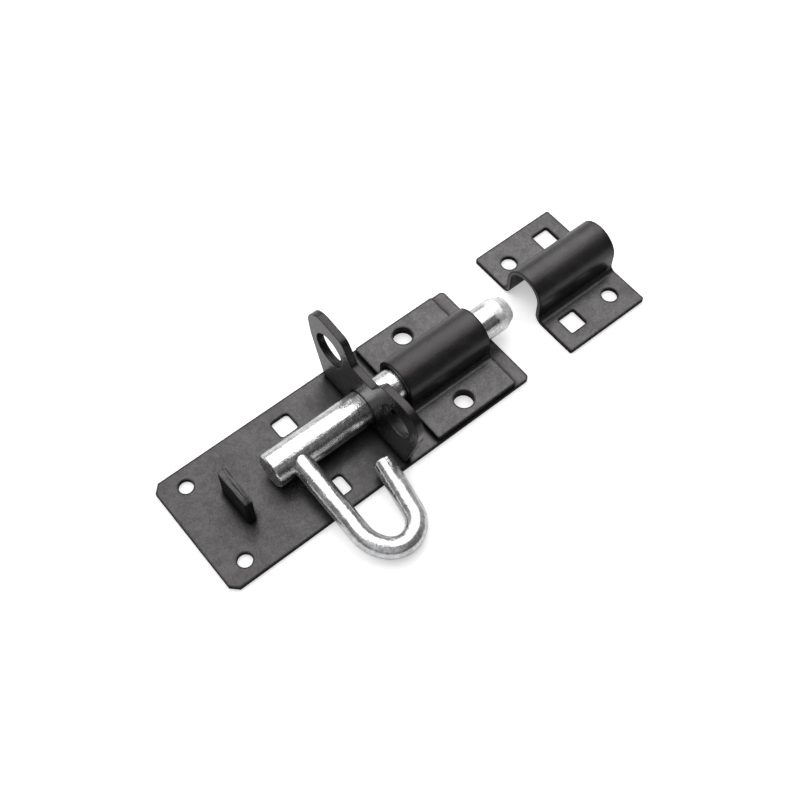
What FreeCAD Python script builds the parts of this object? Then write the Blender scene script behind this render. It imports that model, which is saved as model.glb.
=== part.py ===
import FreeCAD, Part
import Sketcher
import math
import os

# Padbolt with its separate keep. Millimetres, +Z up, +X towards the nose of the rod.
# The origin is the centre of the underside of the backplate.

SIZES = {
    # backplate
    "plate_length": 150.0,
    "plate_width": 56.2,
    "plate_sheet": 2.0,
    "plate_clip": 3.2,
    "plate_round": 2.0,
    "screw_hole": 6.2,
    "screw_hole_from_end": 11.1,
    "screw_hole_apart": 40.0,
    "square_hole": 8.6,
    "square_hole_round": 1.6,
    "square_hole_from_middle": 17.4,
    "square_hole_apart": 35.6,
    # rod
    "rod_bore": 15.0,
    "rod_long": 121.7,
    "rod_back": 36.7,
    "rod_height": 11.5,
    "rod_back_bevel": 0.6,
    "nose_long": 4.5,
    "nose_end": 11.0,
    # hoop
    "bar_thick": 9.0,
    "hoop_back": 25.0,
    "hoop_reach": 40.7,
    "hoop_drift": 0.9,
    "hoop_slow_bend": 16.0,
    "hoop_slow_turn_deg": 45.0,
    "hoop_tight_bend": 10.1,
    "hoop_tight_turn_deg": 125.7,
    "hoop_gap": 22.7,
    "hoop_rise": 2.3,
    "hoop_end_round": 1.2,
    "hoop_joint_gap": 0.05,
    # ear bracket
    "bracket_front": 9.5,
    "bracket_sheet": 3.2,
    "bracket_base_half": 26.0,
    "ear_waist_out": 33.3,
    "ear_waist_up": 27.0,
    "ear_tip_out": 35.2,
    "ear_tip_up": 45.6,
    "ear_inner_out": 12.3,
    "ear_inner_up": 43.2,
    "notch_half": 6.2,
    "notch_up": 33.0,
    "ear_tip_round": 9.5,
    "ear_waist_round": 25.0,
    "ear_inner_round": 4.5,
    "notch_round": 2.0,
    "rod_hole_gap": 0.3,
    "padlock_hole": 16.4,
    "padlock_hole_out": 20.8,
    "padlock_hole_up": 28.0,
    # guide over the rod
    "guide_from_end": 7.0,
    "guide_long": 41.6,
    "guide_wide": 54.6,
    "guide_sheet": 2.5,
    "guide_arch": 20.8,
    "guide_foot_bend": 2.3,
    "guide_corner": 1.0,
    "guide_hole": 8.5,
    "guide_hole_apart": 39.6,
    "guide_hole_along": 19.7,
    # lug behind the rod
    "lug_from_end": 20.9,
    "lug_thick": 3.8,
    "lug_wide": 18.6,
    "lug_top": 18.6,
    "lug_side_round": 0.9,
    # keep
    "keep_start": 97.1,
    "keep_aside": 1.1,
    "keep_long": 42.9,
    "keep_wide": 61.6,
    "keep_sheet": 2.0,
    "keep_arch": 20.4,
    "keep_arch_up": 11.0,
    "keep_foot_bend": 2.6,
    "keep_corner": 1.0,
    "keep_hole": 7.0,
    "keep_hole_out": 20.0,
    "keep_hole_off": 11.2,
    "keep_square": 8.9,
    "keep_square_round": 1.0,
    "keep_square_out": 19.9,
    "keep_square_off": 10.5,
}

TOUCH = 0.01
ALONG = FreeCAD.Vector(1, 0, 0)
ACROSS = FreeCAD.Vector(0, 1, 0)
UP = FreeCAD.Vector(0, 0, 1)
SIDES = (("near", "-"), ("far", "+"))
GUIDE_START = "plate_length/2 - guide_from_end - guide_long"

doc = FreeCAD.newDocument("padbolt")
sheet = doc.addObject("Spreadsheet::Sheet", "Sizes")
for row, (name, value) in enumerate(SIZES.items(), 1):
    sheet.set("A%d" % row, name)
    sheet.set("B%d" % row, str(value))
    sheet.setAlias("B%d" % row, name)
doc.recompute()


def size(name):
    return float(sheet.get(name))


def worth(text):
    """Value of a short sum of size names, such as 'plate_sheet + guide_sheet/2'."""
    total = 0.0
    sign = 1.0
    for word in text.split():
        if word in ("+", "-"):
            sign = 1.0 if word == "+" else -1.0
            continue
        name, _, divisor = word.partition("/")
        value = size(name) if name in SIZES else float(name)
        total += sign * value / float(divisor or 1)
    return total


def named(text):
    """The same sum written for an expression."""
    return " ".join("Sizes." + word if word.partition("/")[0] in SIZES else word for word in text.split())


def new_body(name, along="0", aside="0", up="0"):
    body = doc.addObject("PartDesign::Body", name)
    body.Label = name
    for axis, text in zip("xyz", (along, aside, up)):
        body.setExpression("Placement.Base." + axis, named(text))
    return body


def plane(body, role):
    for feature in body.Origin.OriginFeatures:
        if feature.Role == role:
            return feature
    raise RuntimeError("no origin plane " + role)


def new_sketch(body, name, role, across="0", up="0", out="0"):
    sketch = body.newObject("Sketcher::SketchObject", name)
    sketch.AttachmentSupport = (plane(body, role), [""])
    sketch.MapMode = "FlatFace"
    for axis, text in zip("xyz", (across, up, out)):
        sketch.setExpression("AttachmentOffset.Base." + axis, named(text))
    return sketch


def bind(sketch, name, text, *constraint):
    index = sketch.addConstraint(Sketcher.Constraint(*constraint))
    sketch.renameConstraint(index, name)
    sketch.setExpression("Constraints." + name, named(text))


def draw_line(sketch, start, end):
    segment = Part.LineSegment(FreeCAD.Vector(*start, 0), FreeCAD.Vector(*end, 0))
    return sketch.addGeometry(segment, False)


def draw_circle(sketch, across):
    ring = Part.Circle(FreeCAD.Vector(0, 0, 0), UP, worth(across) / 2)
    sketch.addGeometry(ring, False)
    sketch.addConstraint(Sketcher.Constraint("Coincident", 0, 3, -1, 1))
    bind(sketch, "across", across, "Diameter", 0, worth(across))


def pin(sketch, line, end, axis, text):
    """Hold one end of a line at its signed distance from the sketch origin."""
    name = "%s%d_%d" % (axis, line, end)
    if text == "0":
        sketch.addConstraint(Sketcher.Constraint("PointOnObject", line, end, -2 if axis == "X" else -1))
    elif text.startswith("-"):
        bind(sketch, name, text[1:], "Distance" + axis, line, end, -1, 1, worth(text[1:]))
    else:
        bind(sketch, name, text, "Distance" + axis, -1, 1, line, end, worth(text))


def signed(text):
    return -worth(text[1:]) if text.startswith("-") else worth(text)


def draw_outline(sketch, corners):
    """Closed outline of straight lines, each corner held by two sizes."""
    spots = [(signed(across), signed(up)) for across, up in corners]
    lines = [draw_line(sketch, a, b) for a, b in zip(spots, spots[1:] + spots[:1])]
    for line in lines:
        sketch.addConstraint(Sketcher.Constraint("Coincident", line, 2, (line + 1) % len(lines), 1))
    for line, (across, up) in zip(lines, corners):
        pin(sketch, line, 1, "X", across)
        pin(sketch, line, 1, "Y", up)


def draw_rectangle(sketch, wide, high):
    half_w, half_h = wide + "/2", high + "/2"
    draw_outline(sketch, [("-" + half_w, "-" + half_h), (half_w, "-" + half_h),
                          (half_w, half_h), ("-" + half_w, half_h)])


def draw_arch(sketch, wide, legs):
    """A half circle over two straight legs, the circle centre at the sketch origin."""
    radius = worth(wide) / 2
    drop = worth(legs)
    round_top = Part.ArcOfCircle(Part.Circle(FreeCAD.Vector(0, 0, 0), UP, radius), 0, math.pi)
    sketch.addGeometry(round_top, False)
    draw_line(sketch, (-radius, 0), (-radius, -drop))
    draw_line(sketch, (-radius, -drop), (radius, -drop))
    draw_line(sketch, (radius, -drop), (radius, 0))
    for first, second in ((0, 1), (1, 2), (2, 3)):
        sketch.addConstraint(Sketcher.Constraint("Coincident", first, 2, second, 1))
    sketch.addConstraint(Sketcher.Constraint("Coincident", 3, 2, 0, 1))
    sketch.addConstraint(Sketcher.Constraint("Coincident", 0, 3, -1, 1))
    sketch.addConstraint(Sketcher.Constraint("PointOnObject", 0, 1, -1))
    sketch.addConstraint(Sketcher.Constraint("PointOnObject", 0, 2, -1))
    sketch.addConstraint(Sketcher.Constraint("Vertical", 1))
    sketch.addConstraint(Sketcher.Constraint("Vertical", 3))
    bind(sketch, "wide", wide, "Diameter", 0, 2 * radius)
    bind(sketch, "legs", legs, "DistanceY", 3, 1, 3, 2, drop)


def pad(body, sketch, name, long, middle=False):
    feature = body.newObject("PartDesign::Pad", name)
    feature.Profile = sketch
    feature.Midplane = middle
    feature.setExpression("Length", named(long))
    doc.recompute()
    return feature


def pocket(body, sketch, name):
    """Cut right through, to both sides of the sketch."""
    feature = body.newObject("PartDesign::Pocket", name)
    feature.Profile = sketch
    feature.Type = 1
    feature.Midplane = True
    doc.recompute()
    return feature


def straight_edges(base, direction, spots):
    """Names of the straight edges along a direction that pass through the given spots."""
    found = []
    for number, edge in enumerate(base.Shape.Edges, 1):
        if edge.Curve.TypeId != "Part::GeomLine":
            continue
        if abs(edge.tangentAt(edge.FirstParameter).dot(direction)) < 0.999:
            continue
        middle = edge.CenterOfMass
        for spot in spots:
            away = middle - FreeCAD.Vector(*spot)
            if (away - direction * away.dot(direction)).Length < TOUCH:
                found.append("Edge%d" % number)
    return found


def soften(body, base, name, kind, measure, direction, spots):
    edges = straight_edges(base, direction, spots)
    if len(edges) < len(spots):
        raise RuntimeError("edges missing for " + name)
    feature = body.newObject("PartDesign::" + kind, name)
    feature.Base = (base, edges)
    feature.setExpression("Radius" if kind == "Fillet" else "Size", named(measure))
    doc.recompute()
    return feature


def cut_round(body, name, role, across, up, wide):
    hole = new_sketch(body, name, role, across, up)
    draw_circle(hole, wide)
    return pocket(body, hole, name + "_cut")


def cut_square(body, name, across, up, wide, corner):
    """A square hole in a flat sheet, for the square neck of a coach bolt."""
    hole = new_sketch(body, name, "XY_Plane", across, up)
    draw_rectangle(hole, wide, wide)
    cut = pocket(body, hole, name + "_cut")
    half = size(wide) / 2
    return soften(body, cut, name + "_rounds", "Fillet", corner, UP,
                  [(worth(across) + a * half, worth(up) + b * half, 0) for a in (-1, 1) for b in (-1, 1)])


def make_backplate():
    body = new_body("backplate")
    outline = new_sketch(body, "plate_outline", "XY_Plane")
    draw_rectangle(outline, "plate_length", "plate_width")
    slab = pad(body, outline, "plate_slab", "plate_sheet")
    half_l = size("plate_length") / 2
    half_w = size("plate_width") / 2
    clipped = soften(body, slab, "plate_clips", "Chamfer", "plate_clip", UP,
                     [(-half_l, -half_w, 0), (-half_l, half_w, 0)])
    soften(body, clipped, "plate_rounds", "Fillet", "plate_round", UP,
           [(half_l, -half_w, 0), (half_l, half_w, 0)])
    for side, sign in SIDES:
        cut_round(body, "screw_hole_" + side, "XY_Plane", "0 - plate_length/2 + screw_hole_from_end",
                  "0 %s screw_hole_apart/2" % sign, "screw_hole")
        cut_square(body, "square_hole_" + side, "0 - square_hole_from_middle",
                   "0 %s square_hole_apart/2" % sign, "square_hole", "square_hole_round")
        cut_round(body, "guide_bolt_hole_" + side, "XY_Plane", GUIDE_START + " + guide_hole_along",
                  "0 %s guide_hole_apart/2" % sign, "guide_hole")
    return body


def make_bolt_rod():
    body = new_body("bolt_rod", "0 - rod_back", "0", "rod_height")
    outline = new_sketch(body, "rod_outline", "XY_Plane")
    draw_outline(outline, [("0", "0"), ("0", "rod_bore/2 - rod_back_bevel"),
                           ("rod_back_bevel", "rod_bore/2"), ("rod_long - nose_long", "rod_bore/2"),
                           ("rod_long", "nose_end/2"), ("rod_long", "0")])
    turned = body.newObject("PartDesign::Revolution", "rod_turned")
    turned.Profile = outline
    turned.ReferenceAxis = (outline, ["H_Axis"])
    turned.Angle = 360.0
    doc.recompute()
    return body


def make_hoop():
    """Round bar bent once: a long leg off the rod, a slow bend, a tight bend and a short leg back."""
    body = new_body("hoop", "0 - hoop_back", "0", "rod_height")
    path = new_sketch(body, "hoop_path", "XY_Plane", "0", "0", "hoop_rise")
    spot = FreeCAD.Vector(size("hoop_drift"), -size("hoop_reach"), 0)
    draw_line(path, (0, 0), (spot.x, spot.y))
    heading = math.atan2(spot.y, spot.x)
    for line, name in ((1, "slow"), (2, "tight")):
        radius = size("hoop_%s_bend" % name)
        turn = math.radians(size("hoop_%s_turn_deg" % name))
        centre = spot + FreeCAD.Vector(-math.sin(heading), math.cos(heading), 0) * radius
        start = heading - math.pi / 2
        ring = Part.Circle(centre, UP, radius)
        path.addGeometry(Part.ArcOfCircle(ring, start + 2 * math.pi, start + turn + 2 * math.pi), False)
        heading += turn
        spot = centre + FreeCAD.Vector(math.sin(heading), -math.cos(heading), 0) * radius
    short = (-size("hoop_gap") - spot.y) / math.sin(heading)
    tip = spot + FreeCAD.Vector(math.cos(heading), math.sin(heading), 0) * short
    draw_line(path, (spot.x, spot.y), (tip.x, tip.y))
    path.addConstraint(Sketcher.Constraint("Coincident", 0, 1, -1, 1))
    for line in (0, 1, 2):
        path.addConstraint(Sketcher.Constraint("Tangent", line, 2, line + 1, 1))
    bind(path, "reach", "hoop_reach", "DistanceY", 0, 2, 0, 1, size("hoop_reach"))
    bind(path, "drift", "hoop_drift", "DistanceX", 0, 1, 0, 2, size("hoop_drift"))
    for line, name in ((1, "slow"), (2, "tight")):
        bind(path, name + "_bend", "hoop_%s_bend" % name, "Radius", line, size("hoop_%s_bend" % name))
        bind(path, name + "_turn", "hoop_%s_turn_deg" % name, "Angle", line,
             math.radians(size("hoop_%s_turn_deg" % name)))
    bind(path, "gap", "hoop_gap", "DistanceY", 3, 2, -1, 1, size("hoop_gap"))
    lean = "atan(Sizes.hoop_drift / Sizes.hoop_reach)"
    bar = new_sketch(body, "bar_section", "XZ_Plane", "0", "hoop_rise")
    bar.AttachmentOffset = FreeCAD.Placement(bar.AttachmentOffset.Base, FreeCAD.Rotation(ACROSS, 5))
    bar.setExpression("AttachmentOffset.Rotation.Angle", lean)
    draw_circle(bar, "bar_thick")
    doc.recompute()
    swept = body.newObject("PartDesign::AdditivePipe", "hoop_bar")
    swept.Profile = bar
    swept.Spine = (path, [])
    doc.recompute()
    coped = cut_round(body, "hoop_joint", "YZ_Plane", "0", "0", "rod_bore + hoop_joint_gap + hoop_joint_gap")
    tip.z = size("hoop_rise")
    rims = ["Edge%d" % number for number, edge in enumerate(coped.Shape.Edges, 1)
            if (edge.CenterOfMass - tip).Length < TOUCH]
    rounded = body.newObject("PartDesign::Fillet", "hoop_end")
    rounded.Base = (coped, rims)
    rounded.setExpression("Radius", named("hoop_end_round"))
    turned = "(%s + Sizes.hoop_slow_turn_deg * 1 deg)" % lean
    out = ("(Sizes.hoop_reach + Sizes.hoop_slow_bend * (sin%s - sin(%s))"
           " + Sizes.hoop_tight_bend * (1 - sin%s))" % (turned, lean, turned))
    body.Placement = FreeCAD.Placement(body.Placement.Base, FreeCAD.Rotation(ALONG, 5))
    body.setExpression("Placement.Rotation.Angle", "asin((Sizes.rod_height - Sizes.bar_thick / 2)"
                       " / sqrt(%s^2 + Sizes.hoop_rise^2)) + atan(Sizes.hoop_rise / %s)" % (out, out))
    doc.recompute()
    return body


def make_ear_bracket():
    body = new_body("ear_bracket", "bracket_front")
    half = [("bracket_base_half", "plate_sheet"), ("ear_waist_out", "ear_waist_up"),
            ("ear_tip_out", "ear_tip_up"), ("ear_inner_out", "ear_inner_up"),
            ("notch_half", "notch_up")]
    mirrored = [("-" + across, up) for across, up in reversed(half)]
    outline = new_sketch(body, "bracket_outline", "YZ_Plane")
    draw_outline(outline, half + mirrored)
    pad(body, outline, "bracket_blank", "bracket_sheet")
    cut_round(body, "rod_hole", "YZ_Plane", "0", "rod_height", "rod_bore + rod_hole_gap + rod_hole_gap")
    for side, sign in SIDES:
        feature = cut_round(body, "padlock_hole_" + side, "YZ_Plane",
                            "0 %s padlock_hole_out" % sign, "padlock_hole_up", "padlock_hole")
    for name in ("ear_tip", "ear_waist", "ear_inner", "notch"):
        out = size("notch_half") if name == "notch" else size(name + "_out")
        up = size(name + "_up")
        feature = soften(body, feature, name + "_rounds", "Fillet", name + "_round", ALONG,
                         [(0, -out, up), (0, out, up)])
    return body


def make_strap(label, start, aside, foot, wide, long, sheet_size, arch, arch_up, bend, corner):
    """A flat strap with a rounded hump along its middle for the rod to pass under."""
    body = new_body(label, start, aside)
    flat = new_sketch(body, label + "_flat", "YZ_Plane", "0", foot + " + " + sheet_size + "/2")
    draw_rectangle(flat, wide, sheet_size)
    pad(body, flat, label + "_flat_strap", long)
    outer = new_sketch(body, label + "_outer_arch", "YZ_Plane", "0", arch_up)
    draw_arch(outer, arch, arch_up + " - " + foot)
    solid = pad(body, outer, label + "_hump", long)
    half = size(arch) / 2
    low = worth(foot)
    thick = size(sheet_size)
    solid = soften(body, solid, label + "_foot_bends", "Fillet", bend, ALONG,
                   [(0, -half, low + thick), (0, half, low + thick)])
    inner = new_sketch(body, label + "_inner_arch", "YZ_Plane", "0", arch_up)
    inner_wide = arch + " - " + sheet_size + " - " + sheet_size
    draw_arch(inner, inner_wide, arch_up + " - " + foot)
    solid = pocket(body, inner, label + "_tunnel")
    inner_half = worth(inner_wide) / 2
    solid = soften(body, solid, label + "_under_bends", "Fillet", bend + " + " + sheet_size, ALONG,
                   [(0, -inner_half, low), (0, inner_half, low)])
    edge = size(wide) / 2
    soften(body, solid, label + "_corners", "Fillet", corner, UP,
           [(x, y, low) for x in (0, size(long)) for y in (-edge, edge)])
    return body


def make_bolt_guide():
    body = make_strap("bolt_guide", GUIDE_START, "0", "plate_sheet", "guide_wide", "guide_long",
                      "guide_sheet", "guide_arch", "rod_height", "guide_foot_bend", "guide_corner")
    for side, sign in SIDES:
        cut_round(body, "guide_hole_" + side, "XY_Plane", "guide_hole_along",
                  "0 %s guide_hole_apart/2" % sign, "guide_hole")
    return body


def make_keep():
    body = make_strap("keep", "keep_start", "keep_aside", "0", "keep_wide", "keep_long",
                      "keep_sheet", "keep_arch", "keep_arch_up", "keep_foot_bend", "keep_corner")
    for (side, sign), other in zip(SIDES, "+-"):
        cut_round(body, "keep_hole_" + side, "XY_Plane", "keep_long/2 %s keep_hole_off" % other,
                  "0 %s keep_hole_out" % sign, "keep_hole")
        cut_square(body, "keep_square_" + side, "keep_long/2 %s keep_square_off" % sign,
                   "0 %s keep_square_out" % sign, "keep_square", "keep_square_round")
    return body


def make_stop_lug():
    body = new_body("stop_lug", "0 - plate_length/2 + lug_from_end", "0", "plate_sheet")
    foot = new_sketch(body, "lug_foot", "XY_Plane", "lug_thick/2")
    draw_rectangle(foot, "lug_thick", "lug_wide")
    blank = pad(body, foot, "lug_blank", "lug_top - plate_sheet")
    half = size("lug_wide") / 2
    soften(body, blank, "lug_side_rounds", "Fillet", "lug_side_round", UP,
           [(x, y, 0) for x in (0, size("lug_thick")) for y in (-half, half)])
    return body


PIECES = [make_backplate(), make_stop_lug(), make_ear_bracket(), make_bolt_guide(),
          make_bolt_rod(), make_hoop(), make_keep()]
doc.recompute()

for item in doc.Objects:
    if "Invalid" in item.State or "Error" in item.State:
        raise RuntimeError("%s did not build: %s" % (item.Label, item.State))
os.makedirs("parts", exist_ok=True)
for piece in PIECES:
    if piece.Shape.isNull() or not piece.Shape.isValid() or len(piece.Shape.Solids) != 1:
        raise RuntimeError(piece.Label + " is not one sound solid")
    piece.Shape.exportStep("parts/%s.step" % piece.Label)
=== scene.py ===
import math
import bpy
from mathutils import Matrix, Vector

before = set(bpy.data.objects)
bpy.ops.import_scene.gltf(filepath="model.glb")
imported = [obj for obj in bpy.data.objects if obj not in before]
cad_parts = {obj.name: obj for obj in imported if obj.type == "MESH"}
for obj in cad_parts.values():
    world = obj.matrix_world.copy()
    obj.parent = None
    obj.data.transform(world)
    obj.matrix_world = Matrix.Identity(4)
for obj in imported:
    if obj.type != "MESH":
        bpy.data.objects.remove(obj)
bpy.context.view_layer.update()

BLACK = (0.0, 0.0, 0.0, 1.0)
WHITE = (1.0, 1.0, 1.0, 1.0)

# The black coating. Lengths are in metres, and streaks are so many to the metre on each axis.
COATING_DEEP = (0.0045, 0.0042, 0.0043, 1.0)
COATING_PALE = (0.0120, 0.0112, 0.0116, 1.0)
# Flat coat that shows the painted shade, and the streaks on the lug.
COATING_FOR_SHADE_AND_STREAKS = (0.0065, 0.0061, 0.0063, 1.0)
COATING_SHEEN = (1.0, 0.94, 0.96, 1.0)
COATING_RELIEF = 0.00015
CUT_RELIEF = 0.00010
CUT_FADE = 0.0002
SHEET_EASING = 0.0005
# Reach of the painted shade in inner corners.
CORNER_SHADE_REACH = 0.003
HUMP_FOOT, HUMP_SIDE = 0.0045, 0.0085
TORN_STREAKS = (1500.0, 60.0, 300.0)

# The zinc plating: as it comes, on the turned nose, and on the sawn end.
ZINC_GREY = (0.47, 0.475, 0.485, 1.0)
ZINC_WHITE = (0.80, 0.80, 0.81, 1.0)
TURNED_GREY = (0.68, 0.68, 0.69, 1.0)
TURNED_WHITE = (0.96, 0.96, 0.97, 1.0)
SAWN_GREY = (0.12, 0.12, 0.125, 1.0)
SAWN_WHITE = (0.70, 0.70, 0.71, 1.0)
ZINC_RELIEF = 0.00020
BAR_EASING = 0.0004
NOSE_START, NOSE_TURNED = 0.0775, 0.0790
ALONG_ROD = (90.0, 1100.0, 1100.0)
ALONG_HOOP = (700.0, 120.0, 700.0)
SAW_MARKS = (100.0, 350.0, 2200.0)

# The table and the lamps: what a square metre of lamp takes for a face of brightness one.
TABLE_WHITE = (0.77, 0.77, 0.77, 1.0)
TABLE_HALF = 3.0
TABLE_DROP = 0.0002
LAMP_WATTS = 4.0

# The camera. Its lens and sensor are in millimetres.
CAMERA_AZIMUTH, CAMERA_ELEVATION = math.radians(-39.1), math.radians(59.98)
CAMERA_TARGET = (0.02718, -0.0017, 0.0)
CAMERA_DISTANCE = 0.50293
LENS, SENSOR = 54.9, 36.0
NEAREST_SEEN = 0.01


class Value:
    """A shader socket that can be added, subtracted and multiplied like a number."""

    def __init__(self, tree, socket):
        self.tree = tree
        self.socket = socket

    def maths(self, operation, first, second):
        node = self.tree.node("ShaderNodeMath", {"operation": operation}, {0: first, 1: second})
        return Value(self.tree, node.outputs[0])

    def __add__(self, other):
        return self.maths("ADD", self, other)

    def __radd__(self, other):
        return self.maths("ADD", other, self)

    def __sub__(self, other):
        return self.maths("SUBTRACT", self, other)

    def __rsub__(self, other):
        return self.maths("SUBTRACT", other, self)

    def __mul__(self, other):
        return self.maths("MULTIPLY", self, other)

    def __rmul__(self, other):
        return self.maths("MULTIPLY", other, self)

    def __abs__(self):
        return self.maths("ABSOLUTE", self, 0.0)


class Finish:
    """The nodes of one material, or of the room."""

    def __init__(self, holder):
        self.holder = holder
        holder.use_nodes = True
        self.nodes = holder.node_tree.nodes
        self.links = holder.node_tree.links
        self.nodes.clear()
        self.coordinates = self.node("ShaderNodeTexCoord", {}, {}).outputs
        self.place = self.coordinates["Object"]

    def node(self, kind, settings, sockets):
        """A node of a type: first its settings, then the values or links of its sockets."""
        node = self.nodes.new(kind)
        for name, setting in settings.items():
            setattr(node, name, setting)
        for name, value in sockets.items():
            socket = node.inputs[name]
            if isinstance(value, Value):
                value = value.socket
            if isinstance(value, bpy.types.NodeSocket):
                self.links.new(value, socket)
            else:
                socket.default_value = value
        return node

    def part(self, vector, axis):
        """One coordinate of a place or a direction."""
        split = self.node("ShaderNodeSeparateXYZ", {}, {"Vector": vector})
        return Value(self, split.outputs[axis])

    def stretched(self, scales):
        """Object position with each axis scaled, for grain that runs one way."""
        node = self.node("ShaderNodeVectorMath", {"operation": "MULTIPLY"},
                         {0: self.place, 1: scales})
        return node.outputs[0]

    def grain(self, scale, detail, roughness=0.5, place=None):
        """Noise about one half."""
        node = self.node("ShaderNodeTexNoise", {},
                         {"Vector": place or self.place, "Scale": scale, "Detail": detail,
                          "Roughness": roughness})
        return Value(self, node.outputs["Fac"])

    def band(self, value, low, high, start=0.0, end=1.0):
        """A ramp from start where the value is low to end where it is high."""
        node = self.node("ShaderNodeMapRange", {"clamp": True},
                         {"Value": value, "From Min": low, "From Max": high, "To Min": start,
                          "To Max": end})
        return Value(self, node.outputs["Result"])

    def spread(self, noise, reach, start=0.0, end=1.0):
        """Noise that keeps within a reach of one half, spread out from start to end."""
        return self.band(noise, 0.5 - reach, 0.5 + reach, start, end)

    def between(self, mask, first, second):
        """A colour mixed from two by a mask."""
        factor, first_colour, second_colour, mixed = 0, 6, 7, 2
        node = self.node("ShaderNodeMix", {"data_type": "RGBA"},
                         {factor: mask, first_colour: first, second_colour: second})
        return node.outputs[mixed]

    def eased(self, radius):
        """Surface direction with the sharp edges rounded over."""
        return self.node("ShaderNodeBevel", {"samples": 6}, {"Radius": radius}).outputs["Normal"]

    def edges(self, reach):
        """Painted shade for a dark outline: one along the sharp edges, nought on the open face.
        """
        open_face = self.node("ShaderNodeNewGeometry", {}, {}).outputs["Normal"]
        agree = self.node("ShaderNodeVectorMath", {"operation": "DOT_PRODUCT"},
                          {0: self.eased(reach), 1: open_face})
        return self.band(agree.outputs["Value"], 0.998, 0.95)

    def corners(self, reach):
        """Painted shade: one deep in an inner corner, where shade falls, nought where the face
        lies open.
        """
        node = self.node("ShaderNodeAmbientOcclusion", {"samples": 8}, {"Distance": reach})
        return self.band(node.outputs["AO"], 0.97, 0.60)

    def skin(self, eased, relief, depth, sockets):
        """A shader with a fine relief over the eased surface."""
        bumps = self.node("ShaderNodeBump", {},
                          {"Height": relief, "Distance": depth, "Normal": eased})
        sockets["Normal"] = bumps.outputs["Normal"]
        return self.node("ShaderNodeBsdfPrincipled", {}, sockets).outputs["BSDF"]

    def covered(self, shader, mask=None, second=None):
        """The material showing one shader, or two parted by a mask."""
        if mask is not None:
            mix = self.node("ShaderNodeMixShader", {}, {0: mask, 1: shader, 2: second})
            shader = mix.outputs[0]
        self.node("ShaderNodeOutputMaterial", {}, {"Surface": shader})
        return self.holder


def new_finish(name):
    return Finish(bpy.data.materials.new(name))


def black_coating(name, face="Z", cut_below=0.03, cut_face_shade=0.85, torn=0.0, outline_shade=0.95,
                  outline_shade_width=0.0015, streaked=0.0, shine=0.95, hump_shine=0.95, flow=0.29):
    """Satin black coating on sheet steel: speckled gloss, with shade painted as a flat coat in
    corners, on side faces and along edges.

    face is the axis that the sheet faces. Up to the height cut_below, what faces across it is a
    side face, where cut_face_shade paints shade as a flat coat, more or less in torn streaks.
    outline_shade paints a dark outline outline_shade_width wide along the sharp edges, and
    streaked dulls streaks on every face.
    shine is the gloss of the sheet where it lies flat, hump_shine that of its hump, and flow the
    least roughness.
    """
    finish = new_finish(name)
    eased = finish.eased(SHEET_EASING)
    height = finish.part(finish.place, "Z")
    cloud = finish.grain(scale=55.0, detail=4.0, roughness=0.55)
    blotch = finish.grain(scale=260.0, detail=4.0, roughness=0.6)
    speckle = finish.grain(scale=1200.0, detail=2.0, roughness=0.6)
    streaks = finish.grain(scale=1.0, detail=3.0, roughness=0.6,
                           place=finish.stretched(TORN_STREAKS))

    tone = finish.spread(cloud * 0.4 + blotch * 0.35 + speckle * 0.25, 0.09)
    gloss = finish.spread(cloud * 0.25 + blotch * 0.35 + speckle * 0.4, 0.09, 0.25, 0.85)
    raised = finish.band(height, HUMP_FOOT, HUMP_SIDE)
    glossy = finish.skin(eased, blotch * 0.4 + speckle * 0.6, COATING_RELIEF,
                         {"Base Color": finish.between(tone, COATING_DEEP, COATING_PALE),
                          "Roughness": flow + 0.08 * cloud + 0.06 * blotch,
                          "IOR": 1.46,
                          "Specular Tint": COATING_SHEEN,
                          "Coat Weight": gloss * (shine - (shine - hump_shine) * raised),
                          "Coat Roughness": 0.27})
    # The flat coat that shows painted shade, and the lug's streaks.
    shade_and_streak_coat = finish.skin(eased, speckle + streaks, CUT_RELIEF,
                       {"Base Color": COATING_FOR_SHADE_AND_STREAKS, "Roughness": 0.6,
                        "Specular IOR Level": 0.08})

    facing = abs(finish.part(finish.coordinates["Normal"], face))
    across = finish.band(facing, 0.35, 0.15)
    low = finish.band(height, cut_below, cut_below - CUT_FADE)
    # Painted shade on the side faces below cut_below, broken up by torn streaks.
    side_face_shade = across * low * (cut_face_shade + torn * finish.spread(streaks, 0.06, -1.0, 1.0))
    # Painted shade in the corners, along the edges and on the side faces, plus real streaks.
    painted_shade_and_streaks = (outline_shade * finish.edges(outline_shade_width) + finish.corners(CORNER_SHADE_REACH) + side_face_shade
            + streaked * finish.spread(streaks, 0.08))
    return finish.covered(glossy, finish.band(painted_shade_and_streaks, 0.0, 1.0), shade_and_streak_coat)


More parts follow.
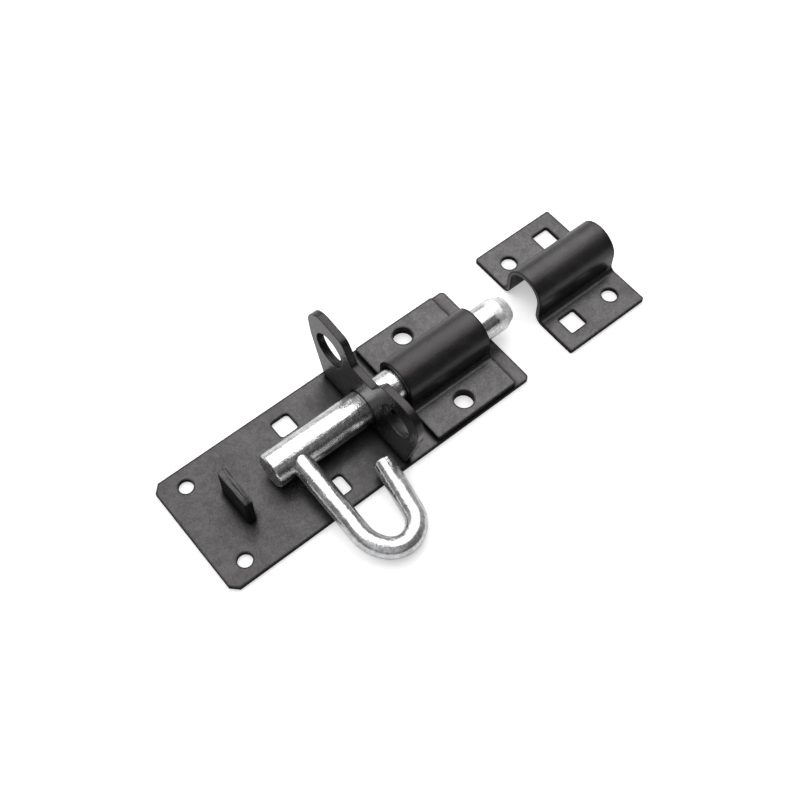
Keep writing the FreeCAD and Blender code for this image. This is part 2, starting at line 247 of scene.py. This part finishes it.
def bright_zinc(name, along, metal=1.0, sawn=0.0):
    """Bright zinc plating: fine grain along the bar, matt on the turned nose, scored if sawn.

    along scales the grain on each axis, metal is how metallic it is, and sawn scores the
    back end.
    """
    finish = new_finish(name)
    wave = finish.grain(scale=280.0, detail=3.0, roughness=0.55)
    grit = finish.grain(scale=850.0, detail=2.0, roughness=0.6)
    drawn = finish.grain(scale=1.0, detail=3.0, roughness=0.6, place=finish.stretched(along))
    saw_marks = finish.grain(scale=1.0, detail=4.0, roughness=0.7,
                             place=finish.stretched(SAW_MARKS))

    forward = finish.part(finish.place, "X")
    nose = finish.band(forward + 0.003 * wave, NOSE_START, NOSE_TURNED)
    facing = abs(finish.part(finish.coordinates["Normal"], "X"))
    end = sawn * finish.band(facing, 0.80, 0.95)
    back_end = end * (1.0 - nose)
    matt = finish.band(nose + end, 0.0, 1.0)

    tone = finish.spread(wave * 0.3 + grit * 0.35 + drawn * 0.35, 0.08)
    plated = finish.between(tone, ZINC_GREY, ZINC_WHITE)
    turned = finish.between(tone, TURNED_GREY, TURNED_WHITE)
    scores = finish.spread(grit * 0.4 + saw_marks * 0.6, 0.10)
    scored = finish.between(scores, SAWN_GREY, SAWN_WHITE)
    colour = finish.between(back_end, finish.between(matt, plated, turned), scored)
    relief = wave * 0.4 + grit * 0.4 + drawn * 0.4 + saw_marks * back_end
    plating = finish.skin(finish.eased(BAR_EASING), relief, ZINC_RELIEF,
                          {"Base Color": colour,
                           "Roughness": 0.15 + 0.07 * wave + 0.04 * grit + 0.30 * matt,
                           "Metallic": metal})
    return finish.covered(plating)


FINISHES = {
    "backplate": black_coating("black_coating_on_plate"),
    "bolt_guide": black_coating("black_coating_on_guide", cut_below=0.0047, hump_shine=0.15),
    "keep": black_coating("black_coating_on_keep", cut_below=0.0022, hump_shine=0.35),
    "ear_bracket": black_coating("black_coating_on_ears", face="X", cut_face_shade=0.55, torn=0.3, outline_shade=0.7,
                                 outline_shade_width=0.0007, shine=0.2, hump_shine=0.0, flow=0.2),
    "stop_lug": black_coating("black_coating_on_lug", outline_shade=0.3, streaked=0.8, shine=1.0),
    "bolt_rod": bright_zinc("zinc_on_drawn_rod", ALONG_ROD, sawn=1.0),
    "hoop": bright_zinc("zinc_on_bent_bar", ALONG_HOOP, metal=0.9),
}
for name, finish in FINISHES.items():
    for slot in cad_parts[name].material_slots:
        slot.material = finish


def make_table():
    """A pale table top with the object's shadow on it, white to the camera where it lies open."""
    mesh = bpy.data.meshes.new("table_top")
    turns = ((-1, -1), (1, -1), (1, 1), (-1, 1))
    corners = [(x * TABLE_HALF, y * TABLE_HALF, 0) for x, y in turns]
    mesh.from_pydata(corners, [], [(0, 1, 2, 3)])
    table = bpy.data.objects.new("table_top", mesh)
    bpy.context.scene.collection.objects.link(table)
    table.location.z = -TABLE_DROP
    finish = new_finish("white_table")
    grain = finish.grain(scale=14.0, detail=2.0)
    rays = finish.node("ShaderNodeLightPath", {}, {}).outputs
    length = finish.node("ShaderNodeVectorMath", {"operation": "LENGTH"}, {0: finish.place})
    whitened = finish.band(length.outputs["Value"], 0.3, 1.2, 0.42, 1.0)
    seen = Value(finish, rays["Is Camera Ray"]) * whitened
    mirrored = 0.06 * Value(finish, rays["Is Glossy Ray"])
    shader = finish.node("ShaderNodeBsdfPrincipled", {},
                         {"Base Color": TABLE_WHITE, "Roughness": 0.6 + 0.1 * grain,
                          "Specular IOR Level": 0.2,
                          "Emission Color": finish.between(seen + mirrored, BLACK, WHITE),
                          "Emission Strength": 1.0})
    mesh.materials.append(finish.covered(shader.outputs["BSDF"]))


def make_softbox(name, place, target, width, brightness):
    """A square soft lamp whose face has the given brightness."""
    lamp = bpy.data.lights.new(name, "AREA")
    lamp.shape = "RECTANGLE"
    lamp.size = lamp.size_y = width
    lamp.energy = brightness * LAMP_WATTS * width * width
    box = bpy.data.objects.new(name, lamp)
    bpy.context.scene.collection.objects.link(box)
    box.location = place
    towards = Vector(target) - Vector(place)
    box.rotation_euler = towards.to_track_quat("-Z", "Y").to_euler()


def make_room():
    """Dark along the near side, paler beyond, with a glow on the near left for the far views.

    The camera sees it white.
    """
    world = bpy.data.worlds.new("studio")
    bpy.context.scene.world = world
    room = Finish(world)
    x, y, z = (room.part(room.coordinates["Generated"], axis) for axis in "XYZ")
    beyond = 0.45 * x + 0.9 * y
    near_left = 0.64 * z - 0.48 * x - 0.60 * y
    walls = (room.band(beyond, -0.9, 0.6, 0.02, 0.44) + room.band(beyond, 0.6, 1.0, 0.0, 0.36)
             + room.band(near_left, 0.75, 0.97, 0.0, 0.5))
    seen = room.node("ShaderNodeLightPath", {}, {}).outputs["Is Camera Ray"]
    colour = room.between(seen, room.between(walls, BLACK, WHITE), WHITE)
    back = room.node("ShaderNodeBackground", {}, {"Color": colour, "Strength": 1.0})
    room.node("ShaderNodeOutputWorld", {}, {"Surface": back.outputs["Background"]})


def make_camera():
    """Looks down at the padbolt from its near left, as in the photograph."""
    level = math.cos(CAMERA_ELEVATION)
    look = Vector((-math.sin(CAMERA_AZIMUTH) * level, math.cos(CAMERA_AZIMUTH) * level,
                   -math.sin(CAMERA_ELEVATION)))
    right = Vector((math.cos(CAMERA_AZIMUTH), math.sin(CAMERA_AZIMUTH), 0))
    up = right.cross(look)
    lens = bpy.data.cameras.new("camera")
    lens.sensor_width = SENSOR
    lens.lens = LENS
    lens.clip_start = NEAREST_SEEN
    camera = bpy.data.objects.new("camera", lens)
    bpy.context.scene.collection.objects.link(camera)
    turn = Matrix((right, up, -look)).transposed().to_4x4()
    place = Vector(CAMERA_TARGET) - look * CAMERA_DISTANCE
    camera.matrix_world = Matrix.Translation(place) @ turn
    bpy.context.scene.camera = camera


make_table()
make_softbox("overhead_softbox", (0.07, 0.40, 0.92), (0.02, 0.0, 0.0), width=1.60, brightness=1.5)
make_softbox("right_softbox", (0.52, 0.37, 0.77), (0.05, 0.0, 0.0), width=0.50, brightness=1.0)
make_room()
make_camera()
bpy.context.scene.view_settings.view_transform = "Standard"
